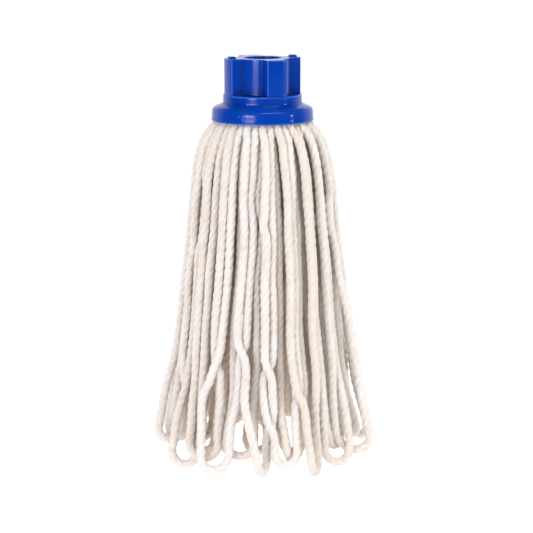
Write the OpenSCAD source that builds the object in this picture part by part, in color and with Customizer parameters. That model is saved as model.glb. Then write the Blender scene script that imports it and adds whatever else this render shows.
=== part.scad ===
// Head of a string mop: a moulded socket for a round handle, a snap-in yarn clamp,
// and a hank of cotton twine folded over the clamp's ring, which hangs down as loops.
// The origin is the centre of the handle bore's mouth, and +Z points up the handle.

/* [Socket] */
// Diameter of the handle bore
bore_d = 25.8; // [25.6:0.1:26.0]
// Depth of the handle bore
bore_depth = 30; // [28:0.5:30]
// Radius over the four lobes
lobe_r = 26.2; // [25.6:0.1:26.4]
// Width of one lobe
lobe_w = 14; // [13:0.5:15]
// Height of the lobes above their ledge
lobe_h = 24.5; // [24:0.5:26]
// Radius of the hub wall between the lobes
hub_r = 18.6; // [18.2:0.1:19]
// Radius of the collar under the lobes
collar_r = 26.8; // [26.6:0.1:27]
// Radius of the flange's rim
flange_r = 34.9; // [34.8:0.1:35.4]

/* [Yarn clamp] */
// Inner radius of the clamp ring
ring_in_r = 18.3; // [18.2:0.1:18.6]
// Outer radius of the clamp ring
ring_out_r = 23.0; // [22.6:0.1:23.2]
// Width of a snap leg
leg_w = 5.5; // [4.5:0.5:5.5]
// How far a snap leg's tip stands above the socket
tip_h = 1.3; // [1:0.1:1.5]

/* [Yarn] */
// Diameter of the cotton twine
yarn_d = 5.2; // [4.9:0.1:5.3]
// Diameter of the twine where the socket squeezes it
yarn_squeezed_d = 4.7; // [4.4:0.1:4.8]
// Share of the spread that the hank takes just under the flange
swell = 0.36; // [0.34:0.01:0.38]
// How far down that first swelling reaches
swell_depth = 12; // [10:1:14]
// Sides of a twine solid
yarn_sides = 8; // [8:1:10]

/* [Hidden] */
$fn = 96;
tuft_count = 10;
tuft_step = 360 / tuft_count;
// Loops of one tuft, from the outside of the hank to its middle
LOOP_NAMES = ["front", "back", "middle", "inner"];
loops_per_tuft = len(LOOP_NAMES);
function two_digits(n) = str(n < 10 ? "0" : "", n);

BLUE = [0.03, 0.27, 0.67];
NAVY = [0.02, 0.12, 0.38];
COTTON = [0.92, 0.89, 0.84];
fit = 0.15;

// Socket heights
ledge_z = -lobe_h;
collar_z = -30.2;
rim_z = -42.3;
bore_floor = 2.2;
wall = 2.4;
bore_wall = 2.6;
ceiling_z = ledge_z - 3;
skirt_in_r = flange_r - 2.4;
tube_r = bore_d / 2 + bore_wall;
tube_z = -bore_depth - bore_floor;

// Slots for the snap legs, and the hollows that keep the other lobes' walls even
leg_in_r = 20.3;
leg_out_r = 22.9;
slot_gap = 0.5;
core_in_r = 17;
core_w = lobe_w - 2 * wall;

// Clamp heights
ring_top_z = -34.4;
ring_h = 3.8;
tip_out_r = 24.6;
tip_gap = 0.05;
ring_edge = 0.8;

// Yarn heights
fold_z = -43;
exit_z = -43.3;

// Each route is [exit radius, exit azimuth, low radius, low azimuth] for its two legs,
// measured from the middle of its tuft
FRONT = [[31.2, -4.5, 64, -3], [31.2, 13.5, 64, 15]];
BACK = [[27, -13.5, 58, -15], [27, 4.5, 58, 3]];
MIDDLE = [[20.4, -9.9, 52.2, -9], [20.4, 9.9, 52.2, 9]];
INNER = [[8.9, 0, 39.5, -2.5], [15, 0, 46.5, 18]];
ROUTES = [FRONT, BACK, MIDDLE, INNER];

// Depth of each tuft's legs: front, back, middle, inner, and then the front loop's extra reach
TUFTS = [
    [212, 206, 207, 209, 1],
    [208, 214, 207, 215, 0],
    [214, 208, 208, 211, -1],
    [216, 206, 207, 211, 0],
    [210, 215, 211, 209, 1],
    [213, 221, 212, 211, 0],
    [217, 219, 210, 210, 0],
    [220, 214, 212, 212, 0],
    [213, 220, 211, 213, 1],
    [214, 209, 209, 212, 2],
];
reference_depth = 190;
// Where the rings of a leg lie, as shares of its depth
STATIONS = [0, 0.03, 0.075, 0.14, 0.225, 0.32, 0.42, 0.525, 0.635, 0.75, 0.87, 1];
bend_rings = 6;
squeeze_depth = 20;

function unit(v) = v / norm(v);
function on_circle(r, a, z) = [r * cos(a), r * sin(a), z];

// How far a leg has spread at a depth under the socket, as a share
function spread(depth) =
    swell * (1 - exp(-depth / swell_depth))
    + (1 - swell) * pow(depth / reference_depth, 1.5);

function leg_point(leg, middle, depth, reach) =
    let (share = spread(depth))
    on_circle(
        leg[0] + (leg[2] + reach - leg[0]) * share,
        middle + leg[1] + (leg[3] - leg[1]) * min(1, depth / reference_depth),
        exit_z - depth);

// The half circle that joins the two legs at their lower ends
function bend_points(a, b, slope) =
    let (
        centre = (a + b) / 2,
        half = (a - b) / 2,
        outward = unit([centre[0], centre[1], 0]),
        down = unit([0, 0, -1] + slope * outward))
    [for (i = [1 : bend_rings])
        let (turn = 180 * i / (bend_rings + 1))
        centre + half * cos(turn) + down * norm(half) * sin(turn)];

function loop_points(route, middle, depth, reach) =
    let (
        first = [for (s = STATIONS) leg_point(route[0], middle, s * depth, reach)],
        second = [for (s = STATIONS) leg_point(route[1], middle, s * depth, reach)],
        last = len(STATIONS) - 1,
        step = first[last] - first[last - 1],
        slope = norm([step[0], step[1]]) / abs(step[2]))
    concat(
        first,
        bend_points(first[last], second[last], slope),
        [for (i = [last : -1 : 0]) second[i]]);

// The twine leaves the socket straight down, so that its two ends are level
function tangent(points, i) =
    i == 0 ? [0, 0, -1]
    : i == len(points) - 1 ? [0, 0, 1]
    : unit(points[i + 1] - points[i - 1]);

function twine_r(z) =
    let (share = min(1, (exit_z - z) / squeeze_depth))
    (yarn_squeezed_d + (yarn_d - yarn_squeezed_d) * share) / 2;

function ring_points(points, i, side) =
    let (
        along = tangent(points, i),
        u = unit(side - (side * along) * along),
        v = cross(along, u))
    [for (k = [0 : yarn_sides - 1])
        points[i] + twine_r(points[i][2])
            * (u * cos(360 * k / yarn_sides) + v * sin(360 * k / yarn_sides))];

// One twine solid, swept along its route's points
module twine(points) {
    last = len(points) - 1;
    side = unit(cross(points[last] - points[0], [0, 0, 1]));
    n = yarn_sides;
    wall_faces = [
        for (i = [0 : last - 1]) for (k = [0 : n - 1])
            [i * n + k, (i + 1) * n + k, (i + 1) * n + (k + 1) % n, i * n + (k + 1) % n]];
    first_cap = [for (k = [0 : n - 1]) k];
    last_cap = [for (k = [n - 1 : -1 : 0]) last * n + k];
    polyhedron(
        points = [for (i = [0 : last]) each ring_points(points, i, side)],
        faces = concat([first_cap], wall_faces, [last_cap]));
}

module yarn_loop(tuft, loop) {
    row = TUFTS[tuft];
    reach = loop == 0 ? row[loops_per_tuft] : 0;
    color(COTTON)
        twine(loop_points(ROUTES[loop], (tuft + 0.5) * tuft_step, row[loop], reach));
}

// A lobe's plan: a bar from the axis to the lobe radius, with two rounded outer corners
module lobe_plan() {
    corner = 1.2;
    intersection() {
        union() {
            translate([0, -lobe_w / 2])
                square([lobe_r - corner, lobe_w]);
            translate([0, -lobe_w / 2 + corner])
                square([lobe_r, lobe_w - 2 * corner]);
            for (side = [-1, 1])
                translate([lobe_r - corner, side * (lobe_w / 2 - corner)])
                    circle(corner);
        }
        circle(lobe_r);
    }
}

// Profile of the collar, the flange's round shoulder and its rim
module flange_profile() {
    polygon([
        [0, ledge_z],
        [collar_r - 0.7, ledge_z],
        [collar_r - 0.2, ledge_z - 0.2],
        [collar_r, ledge_z - 0.7],
        [collar_r, collar_z + 0.8],
        [collar_r + 0.15, collar_z],
        [collar_r + 0.7, collar_z - 0.7],
        [28.6, -31.35],
        [31.5, -32.4],
        [32.7, -33.0],
        [33.5, -33.65],
        [34.1, -34.5],
        [34.4, -35.5],
        [34.5, -36.6],
        [flange_r - 0.3, rim_z + 1.9],
        [flange_r - 0.05, rim_z + 1.3],
        [flange_r, rim_z + 0.7],
        [flange_r - 0.05, rim_z + 0.25],
        [flange_r - 0.3, rim_z],
        [0, rim_z]]);
}

// Profile of the bell inside the flange, around the bottom of the bore's tube
module bell_profile() {
    polygon([
        [0, rim_z - 1],
        [0, tube_z],
        [tube_r, tube_z],
        [tube_r, ceiling_z],
        [collar_r - wall, ceiling_z],
        [collar_r - wall, collar_z - 1.4],
        [30.9, -35.2],
        [32, -37],
        [skirt_in_r, rim_z],
        [skirt_in_r, rim_z - 1]]);
}

module radial_box(r_in, r_out, width, z_low, z_high) {
    translate([r_in, -width / 2, z_low])
        cube([r_out - r_in, width, z_high - z_low]);
}

module socket() {
    color(BLUE)
    difference() {
        union() {
            translate([0, 0, ledge_z - 1])
                cylinder(r = hub_r, h = lobe_h + 1);
            for (turn = [0 : 90 : 270])
                rotate(turn)
                    translate([0, 0, ledge_z - 1])
                        linear_extrude(lobe_h + 1)
                            lobe_plan();
            rotate_extrude()
                flange_profile();
        }
        translate([0, 0, -bore_depth])
            cylinder(d = bore_d, h = bore_depth + 1);
        rotate_extrude()
            bell_profile();
        // Slots for the two snap legs
        for (turn = [0, 180])
            rotate(turn)
                radial_box(leg_in_r - slot_gap, leg_out_r + slot_gap,
                    leg_w + 2 * slot_gap, ceiling_z - 1, 1);
        // Hollows in the other two lobes, open to the bell
        for (turn = [90, 270])
            rotate(turn)
                radial_box(core_in_r, lobe_r - wall, core_w, ceiling_z - 1, -wall);
    }
}

module yarn_clamp() {
    color(NAVY) {
        rotate_extrude()
            polygon([
                [ring_in_r + ring_edge, ring_top_z],
                [ring_out_r - ring_edge, ring_top_z],
                [ring_out_r, ring_top_z - ring_edge],
                [ring_out_r, ring_top_z - ring_h + ring_edge],
                [ring_out_r - ring_edge, ring_top_z - ring_h],
                [ring_in_r + ring_edge, ring_top_z - ring_h],
                [ring_in_r, ring_top_z - ring_h + ring_edge],
                [ring_in_r, ring_top_z - ring_edge]]);
        for (turn = [0, 180])
            rotate(turn)
                translate([0, leg_w / 2, 0])
                    rotate([90, 0, 0])
                        linear_extrude(leg_w)
                            polygon([
                                [leg_in_r, ring_top_z - ring_edge - 1],
                                [leg_out_r, ring_top_z - ring_edge - 1],
                                [leg_out_r, tip_gap],
                                [tip_out_r, tip_gap],
                                [tip_out_r, tip_h - 0.7],
                                [tip_out_r - 0.8, tip_h],
                                [leg_in_r + 0.4, tip_h],
                                [leg_in_r, tip_h - 0.4]]);
    }
}

// The folded middle of the hank, which the ring pulls up into the bell
module yarn_fold() {
    color(COTTON)
    difference() {
        rotate_extrude()
            polygon([
                [5.6, fold_z],
                [5.6, -40.5],
                [8.5, -36],
                [12, tube_z - 1],
                [tube_r + 0.4, tube_z - 0.4],
                [tube_r + 0.4, -30],
                [18, -28.4],
                [21, ceiling_z - 0.4],
                [23.8, -29.4],
                [23.8, -31.9],
                [30.5, -35.7],
                [31.5, -37.4],
                [skirt_in_r - 0.5, fold_z + 0.4],
                [skirt_in_r - 0.5, fold_z]]);
        translate([0, 0, ring_top_z - ring_h - fit])
            difference() {
                cylinder(r = ring_out_r + fit, h = ring_h + 2 * fit);
                translate([0, 0, -1])
                    cylinder(r = ring_in_r - fit, h = ring_h + 2);
            }
        for (turn = [0, 180])
            rotate(turn)
                radial_box(leg_in_r - fit, leg_out_r + fit,
                    leg_w + 2 * fit, ring_top_z - 1, 0);
    }
}

socket();
yarn_clamp();
yarn_fold();
for (tuft = [0 : tuft_count - 1])
    for (loop = [0 : loops_per_tuft - 1])
        yarn_loop(tuft, loop);
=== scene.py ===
"""The string mop head's visual model, built around its CAD frame."""

import math

import bpy
import numpy as np
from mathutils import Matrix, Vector


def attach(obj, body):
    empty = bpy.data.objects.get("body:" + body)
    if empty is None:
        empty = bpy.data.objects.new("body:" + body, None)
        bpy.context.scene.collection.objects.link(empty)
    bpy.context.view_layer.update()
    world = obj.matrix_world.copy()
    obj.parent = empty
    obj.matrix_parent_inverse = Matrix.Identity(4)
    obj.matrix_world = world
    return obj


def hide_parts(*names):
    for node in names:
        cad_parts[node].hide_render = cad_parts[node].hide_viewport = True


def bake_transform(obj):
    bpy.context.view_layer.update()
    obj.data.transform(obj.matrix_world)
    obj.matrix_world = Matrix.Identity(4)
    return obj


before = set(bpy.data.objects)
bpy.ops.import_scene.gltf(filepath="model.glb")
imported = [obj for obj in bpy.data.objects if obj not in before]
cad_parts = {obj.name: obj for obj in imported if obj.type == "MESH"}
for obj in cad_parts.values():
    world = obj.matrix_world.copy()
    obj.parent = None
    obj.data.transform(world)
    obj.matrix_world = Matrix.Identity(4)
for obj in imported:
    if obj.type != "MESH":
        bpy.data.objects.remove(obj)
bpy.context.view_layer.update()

MM = 0.001
scene = bpy.context.scene


# ---------------------------------------------------------------- camera

CAMERA_AZIMUTH = -23
CAMERA_REACH = 1.206
CAMERA_HEIGHT = 0.097
CAMERA_PITCH = -11.311
CAMERA_YAW = 0.13
# The picture's width and the lens's focal length, in pixels
PICTURE = 533
FOCAL_PIXELS = 1776


def around(azimuth, reach, height):
    """A point at an azimuth round the object: 0 is on the -Y side and 90 on the +X side."""
    a = math.radians(azimuth)
    return Vector((math.sin(a) * reach, -math.cos(a) * reach, height))


def make_camera():
    data = bpy.data.cameras.new("camera")
    data.sensor_width = 36
    data.lens = data.sensor_width * FOCAL_PIXELS / PICTURE
    data.clip_end = 100
    camera = bpy.data.objects.new("camera", data)
    scene.collection.objects.link(camera)
    camera.location = around(CAMERA_AZIMUTH, CAMERA_REACH, CAMERA_HEIGHT)
    heading = math.radians(CAMERA_AZIMUTH - CAMERA_YAW)
    camera.rotation_euler = (math.radians(90 + CAMERA_PITCH), 0, heading)
    scene.camera = camera


# ---------------------------------------------------------------- nodes helper

class Nodes:
    """A node tree, with short calls for the nodes that this scene uses."""

    def __init__(self, tree):
        self.tree = tree

    def node(self, kind, **settings):
        made = self.tree.nodes.new(kind)
        for key, value in settings.items():
            setattr(made, key, value)
        return made

    def link(self, output, target):
        self.tree.links.new(output, target)

    def noise(self, vector, scale, detail, rough=0.5):
        made = self.node("ShaderNodeTexNoise")
        made.inputs["Scale"].default_value = scale
        made.inputs["Detail"].default_value = detail
        made.inputs["Roughness"].default_value = rough
        self.link(vector, made.inputs["Vector"])
        return made.outputs["Fac"]

    def remap(self, value, low, high, to_low, to_high, curve="LINEAR"):
        made = self.node("ShaderNodeMapRange", interpolation_type=curve)
        self.link(value, made.inputs["Value"])
        for key, number in zip(
            ("From Min", "From Max", "To Min", "To Max"), (low, high, to_low, to_high)
        ):
            made.inputs[key].default_value = number
        return made.outputs["Result"]

    def math(self, operation, a, b):
        made = self.node("ShaderNodeMath", operation=operation)
        for slot, value in zip(made.inputs, (a, b)):
            if isinstance(value, (int, float)):
                slot.default_value = value
            else:
                self.link(value, slot)
        return made.outputs["Value"]

    def blend(self, share, a, b):
        """A colour between a and b."""
        made = self.node("ShaderNodeMix", data_type="RGBA")
        self.link(share, made.inputs["Factor"])
        for index, value in ((6, a), (7, b)):
            if isinstance(value, tuple):
                made.inputs[index].default_value = (*value, 1)
            else:
                self.link(value, made.inputs[index])
        return made.outputs[2]

    def bump(self, height, strength, distance):
        made = self.node("ShaderNodeBump")
        made.inputs["Strength"].default_value = strength
        made.inputs["Distance"].default_value = distance
        self.link(height, made.inputs["Height"])
        return made.outputs["Normal"]


class Shader(Nodes):
    """A new material, built round its Principled BSDF."""

    def __init__(self, name):
        self.material = bpy.data.materials.new(name)
        self.material.use_nodes = True
        super().__init__(self.material.node_tree)
        self.bsdf = self.tree.nodes["Principled BSDF"]

    def set(self, **values):
        for key, value in values.items():
            self.bsdf.inputs[key.replace("_", " ")].default_value = value

    def where(self):
        """The place on the surface."""
        return self.node("ShaderNodeNewGeometry").outputs["Position"]


# ---------------------------------------------------------------- stage and light

FLOOR_Z = -0.62
FLOOR_RADIUS = 2.2
FLOOR_GLOW = 0.15
# The soft light's strength from the darkest and the brightest direction, how much the
# brightest one leans to the right, and where the ramp between them starts and ends
AMBIENT = (0.76, 1.22)
AMBIENT_SIDE = 0.85
AMBIENT_RAMP = (-0.8, 0.9)
# What the gloss reflects: from the dark room in front of the object to white behind it,
# and from white at the sides to dark overhead
GLOSS_BEHIND = (0.0, 0.6, 0.004, 1.0)
GLOSS_OVERHEAD = (0.30, 0.72, 1.0, 0.03)
SOFT_COLOUR = (1, 0.99, 0.98)
WHITE = (1, 1, 1)
# How bright the camera sees the backdrop
BACKDROP = 1.04
LAMP_AIM = Vector((0, 0, -0.10))
LAMPS = [
    # name, azimuth, height, reach, width, height of the lamp, watts, colour, seen in gloss
    ("key", 22, 0.75, 1.6, 1.2, 1.2, 1.2, (1.0, 0.975, 0.94), False),
    ("fill", -80, 0.35, 1.5, 1.0, 1.2, 0.4, (1.0, 0.94, 0.97), False),
    ("window", -52, 0.05, 1.6, 0.62, 0.34, 8.5, (0.95, 0.90, 1.0), True),
    ("strip", 46, 0.05, 1.6, 0.10, 0.30, 1.5, (1.0, 1.0, 1.0), True),
    ("top", 10, 1.55, 1.0, 1.30, 0.22, 6.5, (1.0, 1.0, 1.0), True),
]


def make_world():
    """White all round, but a dark room in front and overhead for what the gloss reflects."""
    world = bpy.data.worlds.new("studio")
    world.use_nodes = True
    n = Nodes(world.node_tree)
    n.tree.nodes.clear()
    direction = n.node("ShaderNodeTexCoord").outputs["Generated"]

    def facing(towards):
        """How far the direction points towards another one."""
        made = n.node("ShaderNodeVectorMath", operation="DOT_PRODUCT")
        n.link(direction, made.inputs[0])
        made.inputs[1].default_value = towards
        return made.outputs["Value"]

    def background(colour, strength):
        made = n.node("ShaderNodeBackground")
        made.inputs["Color"].default_value = (*colour, 1)
        if isinstance(strength, float):
            made.inputs["Strength"].default_value = strength
        else:
            n.link(strength, made.inputs["Strength"])
        return made.outputs[0]

    def choose(share, otherwise, chosen):
        """One of two shaders, by kind of ray."""
        made = n.node("ShaderNodeMixShader")
        for slot, value in zip(made.inputs, (share, otherwise, chosen)):
            n.link(value, slot)
        return made.outputs[0]

    split = n.node("ShaderNodeSeparateXYZ")
    n.link(direction, split.inputs["Vector"])
    behind = facing(around(CAMERA_AZIMUTH + 180, 1, 0))
    gloss = n.math(
        "MULTIPLY",
        n.remap(behind, *GLOSS_BEHIND, "SMOOTHSTEP"),
        n.remap(split.outputs["Z"], *GLOSS_OVERHEAD, "SMOOTHSTEP"),
    )
    lit = facing(around(CAMERA_AZIMUTH + 90, AMBIENT_SIDE, 1))
    soft = background(SOFT_COLOUR, n.remap(lit, *AMBIENT_RAMP, *AMBIENT, "SMOOTHSTEP"))
    rays = n.node("ShaderNodeLightPath").outputs
    light = choose(rays["Is Glossy Ray"], soft, background(WHITE, gloss))
    seen = choose(rays["Is Camera Ray"], light, background(WHITE, BACKDROP))
    n.link(seen, n.node("ShaderNodeOutputWorld").inputs["Surface"])
    scene.world = world


def make_stage():
    """A pale floor well under the object, and plain colours."""
    bpy.ops.mesh.primitive_circle_add(
        vertices=96, radius=FLOOR_RADIUS, fill_type="NGON", location=(0, 0, FLOOR_Z)
    )
    floor = bpy.context.object
    floor.name = "floor"
    pale = Shader("pale_floor")
    pale.set(Base_Color=(0.88, 0.88, 0.88, 1), Roughness=0.95, Specular_IOR_Level=0.0)
    pale.set(Emission_Color=(1, 1, 1, 1), Emission_Strength=FLOOR_GLOW)
    floor.data.materials.append(pale.material)
    floor.visible_glossy = False
    scene.view_settings.view_transform = "Standard"


def make_lamps():
    """Area lamps aimed at the object, of which some show in the gloss."""
    for name, azimuth, height, reach, wide, tall, watts, colour, gloss in LAMPS:
        data = bpy.data.lights.new(name, "AREA")
        data.shape = "RECTANGLE"
        data.size = wide
        data.size_y = tall
        data.energy = watts
        data.color = colour
        lamp = bpy.data.objects.new(name, data)
        scene.collection.objects.link(lamp)
        lamp.location = around(azimuth, reach, height)
        lamp.rotation_euler = (LAMP_AIM - lamp.location).to_track_quat("-Z", "Y").to_euler()
        lamp.visible_glossy = gloss
        lamp.visible_camera = False


# ---------------------------------------------------------------- materials

# Colours are linear RGB
BLUE = (0.0002, 0.034, 0.285), (0.0004, 0.039, 0.32)
# The next three colours are painted light: shade in inner corners, a highlight along convex
# edges and shade in creases
BLUE_CORNER_SHADE = (0.0003, 0.016, 0.15)
BLUE_EDGE_HIGHLIGHT = (0.05, 0.17, 0.66)
BLUE_CREASE_SHADE = (0.0003, 0.010, 0.10)
# From and to which openness, and which pointiness, the painted corner shade, painted edge
# highlight and painted crease shade set in, and how far the corner shade reaches
CORNER_SHADE_RAMP = (0.25, 0.85, 1, 0)
EDGE_HIGHLIGHT_RAMP = (0.507, 0.53, 0, 0.6)
CREASE_SHADE_RAMP = (0.497, 0.475, 0, 0.85)
CORNER_SHADE_REACH = 0.007
NAVY = (0.004, 0.034, 0.22), (0.006, 0.044, 0.27)
COTTON = (0.79, 0.725, 0.655), (0.845, 0.83, 0.815)
COTTON_FIBRE = (0.62, 0.54, 0.46)
# Painted shade: darker, warmer tints for the grooves between the plies and for twine deep
# inside the hank
COTTON_GROOVE_SHADE = (0.66, 0.56, 0.46)
COTTON_DEEP_SHADE = (0.74, 0.59, 0.46)
GROOVE_SHADE_SHARE = 0.26
# How many fibres there are round the twine and along one turn of its plies
FIBRES = (46, 9, 1)
# The middle range of a noise, which it seldom leaves
NOISE = (0.3, 0.7)


def blue_plastic():
    """Glossy moulded plastic, with painted shade in its inner corners and creases and a
    painted highlight along its edges.
    """
    s = Shader("blue_plastic")
    where = s.where()
    cloud = s.noise(where, 60, 3)
    fine = s.noise(where, 900, 2)
    colour = s.blend(s.remap(cloud, *NOISE, 0, 1), *BLUE)
    # Painted shade: the colour darkens where an ambient occlusion mask finds an inner corner
    corner_shade = s.node("ShaderNodeAmbientOcclusion", samples=8)
    corner_shade.inputs["Distance"].default_value = CORNER_SHADE_REACH
    colour = s.blend(s.remap(corner_shade.outputs["AO"], *CORNER_SHADE_RAMP), colour, BLUE_CORNER_SHADE)
    # Painted highlight: convex edges, found by pointiness, are lightened towards a pale blue
    edge = s.node("ShaderNodeNewGeometry").outputs["Pointiness"]
    colour = s.blend(s.remap(edge, *EDGE_HIGHLIGHT_RAMP), colour, BLUE_EDGE_HIGHLIGHT)
    # Painted shade: concave creases, found by pointiness, are darkened
    colour = s.blend(s.remap(edge, *CREASE_SHADE_RAMP), colour, BLUE_CREASE_SHADE)
    s.link(colour, s.bsdf.inputs["Base Color"])
    s.link(s.remap(cloud, *NOISE, 0.10, 0.20), s.bsdf.inputs["Roughness"])
    s.link(s.bump(fine, 0.06, 0.0002), s.bsdf.inputs["Normal"])
    s.set(Specular_IOR_Level=0.34)
    return s.material


def navy_plastic():
    """The clamp's darker plastic, with a satin finish."""
    s = Shader("navy_plastic")
    cloud = s.noise(s.where(), 120, 3)
    s.link(s.blend(s.remap(cloud, *NOISE, 0, 1), *NAVY), s.bsdf.inputs["Base Color"])
    s.link(s.remap(cloud, *NOISE, 0.3, 0.42), s.bsdf.inputs["Roughness"])
    s.set(Specular_IOR_Level=0.30)
    return s.material


def cotton_twine():
    """Unbleached cotton: cream and fibrous, with warm painted shade deep in the hank and
    between the plies.
    """
    s = Shader("cotton_twine")
    marks = s.node("ShaderNodeAttribute", attribute_name="yarn")
    split = s.node("ShaderNodeSeparateColor")
    s.link(marks.outputs["Color"], split.inputs["Color"])
    # The yarn attribute holds the loop's tone and two masks for painted shade: depth in the
    # hank and the ply grooves
    tone, depth, groove = split.outputs
    stretch = s.node("ShaderNodeMapping")
    stretch.inputs["Scale"].default_value = FIBRES
    stretch.inputs["Rotation"].default_value = (0, 0, 0.02)
    s.link(s.node("ShaderNodeUVMap", uv_map="twine").outputs["UV"], stretch.inputs["Vector"])
    fibres = s.noise(stretch.outputs["Vector"], 1, 3, 0.6)
    cloud = s.noise(s.where(), 45, 3)
    base = s.blend(s.math("ADD", s.remap(cloud, *NOISE, -0.35, 0.35), tone), *COTTON)
    base = s.blend(s.remap(fibres, 0.35, 0.65, 0.42, 0), base, COTTON_FIBRE)
    # Painted shade in the grooves between the plies
    base = s.blend(s.math("MULTIPLY", groove, GROOVE_SHADE_SHARE), base, COTTON_GROOVE_SHADE)
    # Painted shade on twine deep inside the hank
    base = s.blend(depth, base, COTTON_DEEP_SHADE)
    s.link(base, s.bsdf.inputs["Base Color"])
    s.link(s.remap(fibres, *NOISE, 0.82, 0.98), s.bsdf.inputs["Roughness"])
    s.link(s.bump(fibres, 0.9, 0.0008), s.bsdf.inputs["Normal"])
    s.set(Specular_IOR_Level=0.2, Sheen_Weight=0.25, Sheen_Roughness=0.6)
    s.set(Subsurface_Weight=0.3, Subsurface_Radius=(1.0, 0.82, 0.66), Subsurface_Scale=0.003)
    return s.material


# ---------------------------------------------------------------- moulded parts

def soften(node, name, voxel, rounds, material):
    """A moulded piece with rounded edges, made from a CAD node's own shape.

    A larger voxel and more smoothing rounds make its edges rounder.
    """
    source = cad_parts[node]
    piece = bpy.data.objects.new(name, source.data.copy())
    scene.collection.objects.link(piece)
    remesh = piece.modifiers.new("remesh", "REMESH")
    remesh.mode = "VOXEL"
    remesh.voxel_size = voxel
    smooth = piece.modifiers.new("smooth", "SMOOTH")
    smooth.factor = 0.5
    smooth.iterations = rounds
    bpy.context.view_layer.update()
    evaluated = piece.evaluated_get(bpy.context.evaluated_depsgraph_get())
    made = bpy.data.meshes.new_from_object(evaluated)
    piece.modifiers.clear()
    piece.data = made
    made.name = name
    made.materials.clear()
    made.materials.append(material)
    made.polygons.foreach_set("use_smooth", [True] * len(made.polygons))
    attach(piece, "root")
    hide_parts(node)


# ---------------------------------------------------------------- the hank's routes, in mm

LOOP_NAMES = ("front", "back", "middle", "inner")
TUFT_COUNT = 10
TUFT_STEP = 360 / TUFT_COUNT
# The twine's diameter, and the one to which the flange squeezes it, over how far below
YARN_D = 5.2
SQUEEZED_D = 4.7
SQUEEZE_DEPTH = 8
# The share of the hank's widening that is done just under the flange, over which depth, the
# depth at which it has its full width, and the power by which it flares on the way there
SWELL = 0.36
SWELL_DEPTH = 12
REFERENCE_DEPTH = 190
FLARE = 1.5
# The flange's lower edge, where the twine comes out, and the twine's ends inside the bell
EXIT_Z = -43.3
INSIDE_Z = -38.5
INSIDE_PULL = 0.965
# [exit radius, exit azimuth, low radius, low azimuth] of each loop's two legs
ROUTES = {
    "front": [[31.2, -4.5, 64, -3], [31.2, 13.5, 64, 15]],
    "back": [[27, -13.5, 58, -15], [27, 4.5, 58, 3]],
    "middle": [[20.4, -9.9, 52.2, -9], [20.4, 9.9, 52.2, 9]],
    "inner": [[8.9, 0, 39.5, -2.5], [15, 0, 46.5, 18]],
}
# Depth of each tuft's legs: front, back, middle, inner, and the front loop's extra reach
TUFTS = [
    [212, 206, 207, 209, 1],
    [208, 214, 207, 215, 0],
    [214, 208, 208, 211, -1],
    [216, 206, 207, 211, 0],
    [210, 215, 211, 209, 1],
    [213, 221, 212, 211, 0],
    [217, 219, 210, 210, 0],
    [220, 214, 212, 212, 0],
    [213, 220, 211, 213, 1],
    [214, 209, 209, 212, 2],
]
POINTS = 96
LEG_SAMPLES = 60
BEND_SAMPLES = 24


def spread(depth):
    """The share of a loop's way outward that it has gone at a depth under the flange."""
    swell = SWELL * (1 - np.exp(-depth / SWELL_DEPTH))
    return swell + (1 - SWELL) * (depth / REFERENCE_DEPTH) ** FLARE


def leg_points(leg, middle, depths, reach):
    """Points down one leg of a loop, in a tuft whose middle is at an azimuth in degrees."""
    share = spread(depths)
    radius = leg[0] + (leg[2] + reach - leg[0]) * share
    turn = np.minimum(1, depths / REFERENCE_DEPTH)
    angle = np.radians(middle + leg[1] + (leg[3] - leg[1]) * turn)
    return np.stack(
        [radius * np.cos(angle), radius * np.sin(angle), EXIT_Z - depths], axis=1
    )


def unit(v):
    return v / np.linalg.norm(v, axis=-1, keepdims=True)


def loop_centreline(tuft, name):
    """The CAD route of one loop, as evenly spaced points."""
    row = TUFTS[tuft]
    depth = row[LOOP_NAMES.index(name)]
    reach = row[-1] if name == "front" else 0
    middle = (tuft + 0.5) * TUFT_STEP
    depths = np.linspace(0, depth, LEG_SAMPLES)
    first, second = (leg_points(leg, middle, depths, reach) for leg in ROUTES[name])
    step = first[-1] - first[-2]
    slope = np.hypot(step[0], step[1]) / abs(step[2])
    centre = (first[-1] + second[-1]) / 2
    half = (first[-1] - second[-1]) / 2
    outward = unit(centre * [1, 1, 0])
    down = unit(np.array([0, 0, -1.0]) + slope * outward)
    turn = np.linspace(0, math.pi, BEND_SAMPLES)[1:-1, None]
    bend = centre + half * np.cos(turn) + down * np.linalg.norm(half) * np.sin(turn)
    pull, inside = [INSIDE_PULL, INSIDE_PULL, 0], [0, 0, INSIDE_Z]
    ends = [leg[0] * pull + inside for leg in (first, second)]
    line = np.concatenate([ends[:1], first, bend, second[::-1], ends[1:]])
    return resample(line, POINTS)


def lengths_along(line):
    """The length of the line up to each of its points."""
    steps = np.linalg.norm(np.diff(line, axis=0), axis=1)
    return np.concatenate([[0], np.cumsum(steps)])


def resample(line, count):
    """The line as count evenly spaced points."""
    along = lengths_along(line)
    even = np.linspace(0, along[-1], count)
    return np.stack([np.interp(even, along, line[:, k]) for k in range(3)], axis=1)


def silhouette(z):
    """The hank's outer radius at a height."""
    exit_radius, _, low_radius, _ = ROUTES["front"][0]
    return exit_radius + (low_radius - exit_radius) * spread(np.maximum(0, EXIT_Z - z))


# ---------------------------------------------------------------- natural disorder

# How far in mm a loop strays round the hank and outward, in how many waves, and how deep
# under the flange it does so fully. Its smaller crimp sets in CRIMP_SOONER times as soon.
WANDER_ACROSS, ACROSS_WAVES = 4.5, 14
WANDER_OUT, OUT_WAVES = 1.6, 8
FREE_DEPTH = 60
CRIMP, CRIMP_WAVES = 0.6, 26
CRIMP_SOONER = 3
# The depth from which a loop leans and sags, and how far on it does so fully
LOW_DEPTH, LOW_LENGTH = 110, 100
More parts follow.
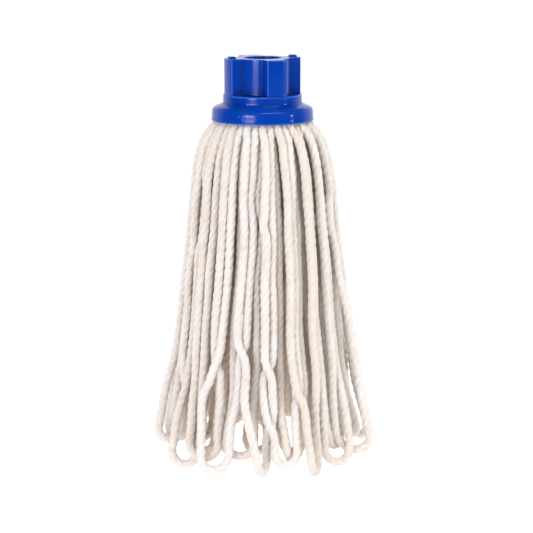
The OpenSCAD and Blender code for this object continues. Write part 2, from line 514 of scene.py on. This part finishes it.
# Twines nearer than TOUCH are pushed apart firmly, and those nearer than LOFT gently
RELAX_ROUNDS = 160
ROUNDS_PER_SEARCH = 10
TOUCH, TOUCH_PUSH = 5.2, 0.35
LOFT, LOFT_PUSH = 6.5, 0.04
# Twines at one height that hide each other move apart round the hank into its gaps. Heights
# count FLATTEN times as much in the search for them.
SPREAD_REACH = 15
SPREAD_WANTED = 6.2
SPREAD_PUSH = 0.08
FLATTEN = np.array([1, 1, 5])
# How strongly a loop keeps its bends, its length and its place, in each round
KEEP_BEND = 0.30
KEEP_LENGTH = 0.4
KEEP_PLACE = 0.01
# Points at a loop's ends that stay in the flange, and neighbours on a loop that may touch
HELD_POINTS = 3
NEIGHBOURS = 5
# How a loop's lower end is turned, in degrees, over how many mm above its lowest point, and
# how far it leans round the hank and outward, in mm. The rest are turned at random.
POSED = {
    (4, "front"): (72, 68, 3, 0),
    (5, "front"): (20, 60, 1, -3),
    (5, "back"): (30, 60, -2, 1),
    (6, "front"): (66, 70, 6, 0),
    (6, "back"): (22, 60, -11, 3),
    (7, "front"): (42, 70, 4, -1),
    (7, "back"): (-10, 60, -2, 1),
    (8, "front"): (-60, 150, -2, 0),
    (8, "back"): (-30, 70, 0, 0),
}
# The same at random: the most that a loop turns either way, and from and to what it leans
TURN_MOST = 50
TURN_ABOVE = 55
LEAN = (-2, 2)
LEAN_OUT = (-1.5, 1)
# How far the loops in the hank's core sag at their lower ends
SAG = {"front": 0, "back": 0, "middle": 2, "inner": 2}
# How far each loop moves outward at these depths, so that the outer ones touch
OUTWARD_DEPTHS = (0, 30, 120, 200)
OUTWARD = {
    "front": (-0.8, -0.5, 0, -1),
    "back": (2.2, 2.5, 2, 1),
    "middle": (3.5, 5, 3.5, 1.5),
    "inner": (0, -1, -6, -4),
}


def smooth_noise(rng, count, waves):
    """A smooth random curve of unit size along count points, with up to that many waves."""
    t = np.linspace(0, 1, count)
    out = np.zeros(count)
    for wave in range(1, waves + 1):
        size = rng.normal()
        phase = rng.uniform(0, 2 * math.pi)
        out += size * np.sin(math.pi * wave * t + phase) / wave**0.5
    return out / max(1e-9, np.abs(out).max())


def ease(x):
    """0 up to 0, 1 from 1, and smoothly between."""
    x = np.clip(x, 0, 1)
    return x * x * (3 - 2 * x)


def disorder(key, line, rng):
    """The line with a hanging loop's wander, crimp, turned lower end and lean."""
    depth = EXIT_Z - line[:, 2]
    free = ease(depth / FREE_DEPTH)[:, None]
    outward = unit(line * [1, 1, 0])
    across = np.stack([-outward[:, 1], outward[:, 0], np.zeros(len(line))], axis=1)
    count = len(line)
    move = across * (smooth_noise(rng, count, ACROSS_WAVES) * WANDER_ACROSS)[:, None]
    move += outward * (smooth_noise(rng, count, OUT_WAVES) * WANDER_OUT)[:, None]
    crimp = smooth_noise(rng, count, CRIMP_WAVES)[:, None] * across
    crimp += smooth_noise(rng, count, CRIMP_WAVES)[:, None] * outward
    turn = rng.uniform(-TURN_MOST, TURN_MOST)
    lean, out = rng.uniform(*LEAN), rng.uniform(*LEAN_OUT)
    turn, above, lean, out = POSED.get(key, (turn, TURN_ABOVE, lean, out))
    low = ease((depth - LOW_DEPTH) / LOW_LENGTH)[:, None]
    line = line + move * free + crimp * CRIMP * np.minimum(1, free * CRIMP_SOONER)
    line = line + (across * lean + outward * out) * low
    line = line + outward * np.interp(depth, OUTWARD_DEPTHS, OUTWARD[key[1]])[:, None]
    line[:, 2] -= SAG[key[1]] * low[:, 0]
    share = ease(1 - (line[:, 2] - line[:, 2].min()) / above)
    turn = np.radians(turn) * share
    middle = line[np.argmin(line[:, 2])]
    centre = (line + line[::-1]) / 2
    centre = centre * share[:, None] + middle * (1 - share[:, None])
    flat = line - centre
    c, s = np.cos(turn), np.sin(turn)
    x, y, z = flat.T
    return np.stack([x * c - y * s, x * s + y * c, z], axis=1) + centre


def close_pairs(points, loop_of, index_of, reach):
    """Pairs of points of the hank nearer than reach, leaving out neighbours on one loop."""
    order = np.argsort(points[:, 2])
    height = points[order, 2]
    found = []
    for i, k in enumerate(order):
        stop = np.searchsorted(height, height[i] + reach)
        others = order[i + 1 : stop]
        if len(others) == 0:
            continue
        gap = points[others] - points[k]
        near = others[(gap * gap).sum(axis=1) < reach * reach]
        same = loop_of[near] == loop_of[k]
        same &= np.abs(index_of[near] - index_of[k]) < NEIGHBOURS
        near = near[~same]
        found.append(np.stack([np.full(len(near), k), near], axis=1))
    return np.concatenate(found)


def relax(lines):
    """Loops that lie against each other instead of through each other."""
    shape = lines.shape
    wanted_bend = lines[:, 1:-1] - (lines[:, :-2] + lines[:, 2:]) / 2
    rest = np.linalg.norm(np.diff(lines, axis=1), axis=2)
    x = lines
    loop_of = np.repeat(np.arange(shape[0]), shape[1])
    index_of = np.tile(np.arange(shape[1]), shape[0])
    held = np.zeros(shape[:2], bool)
    held[:, :HELD_POINTS] = True
    held[:, -HELD_POINTS:] = True
    free = (~held)[..., None]
    for turn in range(RELAX_ROUNDS):
        if turn % ROUNDS_PER_SEARCH == 0:
            pairs = close_pairs(x.reshape(-1, 3), loop_of, index_of, LOFT)
            level = close_pairs(x.reshape(-1, 3) * FLATTEN, loop_of, index_of, SPREAD_REACH)
        flat = x.reshape(-1, 3).copy()
        gap = flat[pairs[:, 1]] - flat[pairs[:, 0]]
        far = np.linalg.norm(gap, axis=1)
        push = np.clip(TOUCH - far, 0, None) * TOUCH_PUSH
        push += np.clip(LOFT - far, 0, None) * LOFT_PUSH
        push /= np.maximum(far, 1e-6)
        move = gap * push[:, None]
        np.add.at(flat, pairs[:, 1], move)
        np.add.at(flat, pairs[:, 0], -move)
        gap = flat[level[:, 1]] - flat[level[:, 0]]
        middle = flat[level[:, 1]] + flat[level[:, 0]]
        across = unit(np.stack([-middle[:, 1], middle[:, 0], 0 * middle[:, 2]], axis=1))
        side = (gap * across).sum(axis=1)
        push = np.clip(SPREAD_WANTED - np.abs(side), 0, None) * np.sign(side) * SPREAD_PUSH
        move = across * push[:, None]
        np.add.at(flat, level[:, 1], move)
        np.add.at(flat, level[:, 0], -move)
        new = flat.reshape(shape)
        bend = new[:, 1:-1] - (new[:, :-2] + new[:, 2:]) / 2
        new[:, 1:-1] -= KEEP_BEND * (bend - wanted_bend)
        edge = np.diff(new, axis=1)
        size = np.linalg.norm(edge, axis=2)
        fix = edge * ((size - rest) / size * KEEP_LENGTH)[..., None]
        new[:, :-1] += fix
        new[:, 1:] -= fix
        new += (lines - new) * KEEP_PLACE
        x = np.where(free, new, lines)
    return x


# ---------------------------------------------------------------- twine as a mesh

# Lengths in mm: between rings of vertices, from the twine's middle to a ply's, a ply's
# radius, one full turn of the plies, and the fuzz
SIDES = 24
RING_STEP = 0.95
PLIES = 3
PLY_OFFSET = 0.76
PLY_RADIUS = 2.24
LAY = 18.5
ROUGH = 0.11
# The share by which the twine's thickness varies, and the part of a radian by which its
# twist does, each in how many waves, and the most radians at which its twist starts
UNEVEN, UNEVEN_WAVES = 0.045, 40
TWIST_VARIES, TWIST_WAVES = 0.5, 12
TWIST_START = 6
# How far inside the hank's outline a twine starts to get painted shade, and over how many mm
# it gets its full painted shade
DEEP_SHADE_FROM, DEEP_SHADE_OVER = 9, 26


def smooth_line(line, count):
    """Catmull-Rom through the points, at count even places."""
    padded = np.concatenate([[2 * line[0] - line[1]], line, [2 * line[-1] - line[-2]]])
    place = np.linspace(0, len(line) - 1, count)
    k = np.minimum(place.astype(int), len(line) - 2)
    t = (place - k)[:, None]
    a, b, c, d = (padded[k + i] for i in range(4))
    return 0.5 * (
        2 * b
        + (c - a) * t
        + (2 * a - 5 * b + 4 * c - d) * t**2
        + (3 * b - a - 3 * c + d) * t**3
    )


def carried_frames(line):
    """Two directions across the line, at each point, that don't spin about it."""
    along = unit(np.gradient(line, axis=0))
    side = np.zeros_like(line)
    now = unit(np.cross(along[0], [0.3, 0.9, 0.1]))
    for i, t in enumerate(along):
        now = now - t * (now @ t)
        now = now / math.sqrt(now @ now)
        side[i] = now
    return side, np.cross(along, side)


def ply_outline():
    """Radius of the three plies' outline, over a turn, and how deep in a groove each is."""
    turn = np.arange(SIDES) * 2 * math.pi / SIDES
    part = 2 * math.pi / PLIES
    off = (turn + part / 2) % part - part / 2
    radius = PLY_OFFSET * np.cos(off)
    radius += np.sqrt(PLY_RADIUS**2 - (PLY_OFFSET * np.sin(off)) ** 2)
    groove = np.clip((radius.max() - radius) / (radius.max() - radius.min()), 0, 1)
    return turn, radius, groove


def twine_mesh(name, line, rng, tone):
    """The mesh of a twine along a line, and its centreline in mm."""
    total = lengths_along(line)[-1]
    rings = int(total / RING_STEP)
    fine = smooth_line(line, rings)
    along = lengths_along(fine)
    u, v = carried_frames(fine)
    turn, outline, groove = ply_outline()
    uneven = UNEVEN * smooth_noise(rng, rings, UNEVEN_WAVES)
    spin = 2 * math.pi * along / LAY + TWIST_VARIES * smooth_noise(rng, rings, TWIST_WAVES)
    spin += rng.uniform(0, TWIST_START)
    squeeze = np.clip((EXIT_Z - fine[:, 2]) / SQUEEZE_DEPTH, 0, 1)
    size = (SQUEEZED_D + (YARN_D - SQUEEZED_D) * squeeze) / YARN_D * (1 + uneven)
    angle = spin[:, None] + turn[None]
    radius = size[:, None] * outline[None] + rng.normal(0, ROUGH, (rings, SIDES))
    points = (
        fine[:, None]
        + u[:, None] * (radius * np.cos(angle))[..., None]
        + v[:, None] * (radius * np.sin(angle))[..., None]
    )
    vertices = np.concatenate([points.reshape(-1, 3), fine[:1], fine[-1:]]) * MM
    base = (np.arange(rings - 1) * SIDES)[:, None]
    k = np.arange(SIDES)[None]
    k2 = (k + 1) % SIDES
    quads = np.stack([base + k, base + k2, base + SIDES + k2, base + SIDES + k], axis=2)
    quads = quads.reshape(-1, 4)
    first, last = rings * SIDES, rings * SIDES + 1
    end = (rings - 1) * SIDES
    fans = [(first, (i + 1) % SIDES, i) for i in range(SIDES)]
    fans += [(last, end + i, end + (i + 1) % SIDES) for i in range(SIDES)]
    mesh = bpy.data.meshes.new(name)
    mesh.from_pydata(vertices.tolist(), [], quads.tolist() + fans)
    mesh.polygons.foreach_set("use_smooth", [True] * len(mesh.polygons))
    paint(mesh, fine, along, groove, tone)
    return mesh, fine


def paint(mesh, fine, along, groove, tone):
    """The twine's own coordinates, and its tone, and masks for painted shade deep in the hank
    and in its grooves.
    """
    rings = len(fine)
    loops = np.zeros(len(mesh.loops), int)
    mesh.loops.foreach_get("vertex_index", loops)
    ring, side = np.minimum(loops // SIDES, rings - 1), loops % SIDES
    uv = np.stack([side / SIDES, along[ring] / LAY], axis=1)
    layer = mesh.uv_layers.new(name="twine")
    layer.data.foreach_set("uv", uv.astype(np.float32).ravel())
    out = np.hypot(fine[:, 0], fine[:, 1])
    # Mask for painted shade: how far a twine lies inside the hank's outline
    deep_shade = np.clip((silhouette(fine[:, 2]) - out - DEEP_SHADE_FROM) / DEEP_SHADE_OVER, 0, 1)
    marks = np.zeros((len(mesh.vertices), 4), np.float32)
    marks[:, 0] = tone
    marks[:-2, 1] = np.repeat(deep_shade, SIDES)
    marks[:-2, 2] = np.tile(groove, rings)
    marks[:, 3] = 1
    colours = mesh.color_attributes.new("yarn", "FLOAT_COLOR", "POINT")
    colours.data.foreach_set("color", marks.ravel())


# ---------------------------------------------------------------- the hank and its fold

HANK_SEED = 179
FOLD_SEED = 5
# A loop's tone, from 0 to 1: its mean and its spread
TONE = (0.5, 0.34)
# The fold's arches: how many, their middle's radius and height, half their width and their
# rise, the radii and height of the ends of their legs, and the points along a whole one
ARCHES = 24
ARCH_RADIUS, ARCH_Z = 20.6, -36
ARCH_HALF, ARCH_RISE = 5.6, 5.0
ARCH_LEGS, ARCH_LEG_Z = (26.2, 15), -42.6
ARCH_SAMPLES, ARCH_POINTS = 16, 20


def make_hank(material):
    """Every loop of twine, as a cord from the socket down to its tuft."""
    rng = np.random.default_rng(HANK_SEED)
    keys = [(t, name) for t in range(TUFT_COUNT) for name in LOOP_NAMES]
    lines = np.array([disorder((t, name), loop_centreline(t, name), rng) for t, name in keys])
    lines = relax(lines)
    for (t, name), line in zip(keys, lines):
        body = f"tuft_{t + 1:02d}"
        node = f"{body}_{name}_loop"
        tone = float(np.clip(rng.normal(*TONE), 0, 1))
        mesh, fine = twine_mesh(node + "_twine", line, rng, tone)
        mesh.materials.append(material)
        piece = bpy.data.objects.new(node + "_twine", mesh)
        scene.collection.objects.link(piece)
        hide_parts(node)
        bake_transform(piece)


def make_fold(material):
    """The hank's folded middle, inside the bell: arches of twine over the clamp's ring."""
    rng = np.random.default_rng(FOLD_SEED)
    turn = np.linspace(0, math.pi, ARCH_SAMPLES)[:, None]
    pieces = []
    for k in range(ARCHES):
        a = math.radians((k + 0.5) * 360 / ARCHES)
        outward = np.array([math.cos(a), math.sin(a), 0])
        arch = outward * (ARCH_RADIUS + ARCH_HALF * np.cos(turn))
        arch = arch + np.array([0, 0, 1]) * (ARCH_Z + ARCH_RISE * np.sin(turn))
        legs = [outward * radius + [0, 0, ARCH_LEG_Z] for radius in ARCH_LEGS]
        line = resample(np.concatenate([legs[:1], arch, legs[1:]]), ARCH_POINTS)
        mesh, _ = twine_mesh(f"fold_{k}", line, rng, TONE[0])
        mesh.materials.append(material)
        piece = bpy.data.objects.new(mesh.name, mesh)
        scene.collection.objects.link(piece)
        pieces.append(piece)
    with bpy.context.temp_override(
        active_object=pieces[0], selected_editable_objects=pieces, selected_objects=pieces
    ):
        bpy.ops.object.join()
    fold = pieces[0]
    fold.name = "yarn_fold_twine"
    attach(fold, "root")
    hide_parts("yarn_fold")


make_camera()
make_world()
make_stage()
make_lamps()
cotton = cotton_twine()
make_hank(cotton)
make_fold(cotton)
soften(
    "socket",
    "socket_moulding",
    voxel=0.35 * MM,
    rounds=6,
    material=blue_plastic(),
)
soften(
    "yarn_clamp",
    "clamp_moulding",
    voxel=0.25 * MM,
    rounds=4,
    material=navy_plastic(),
)
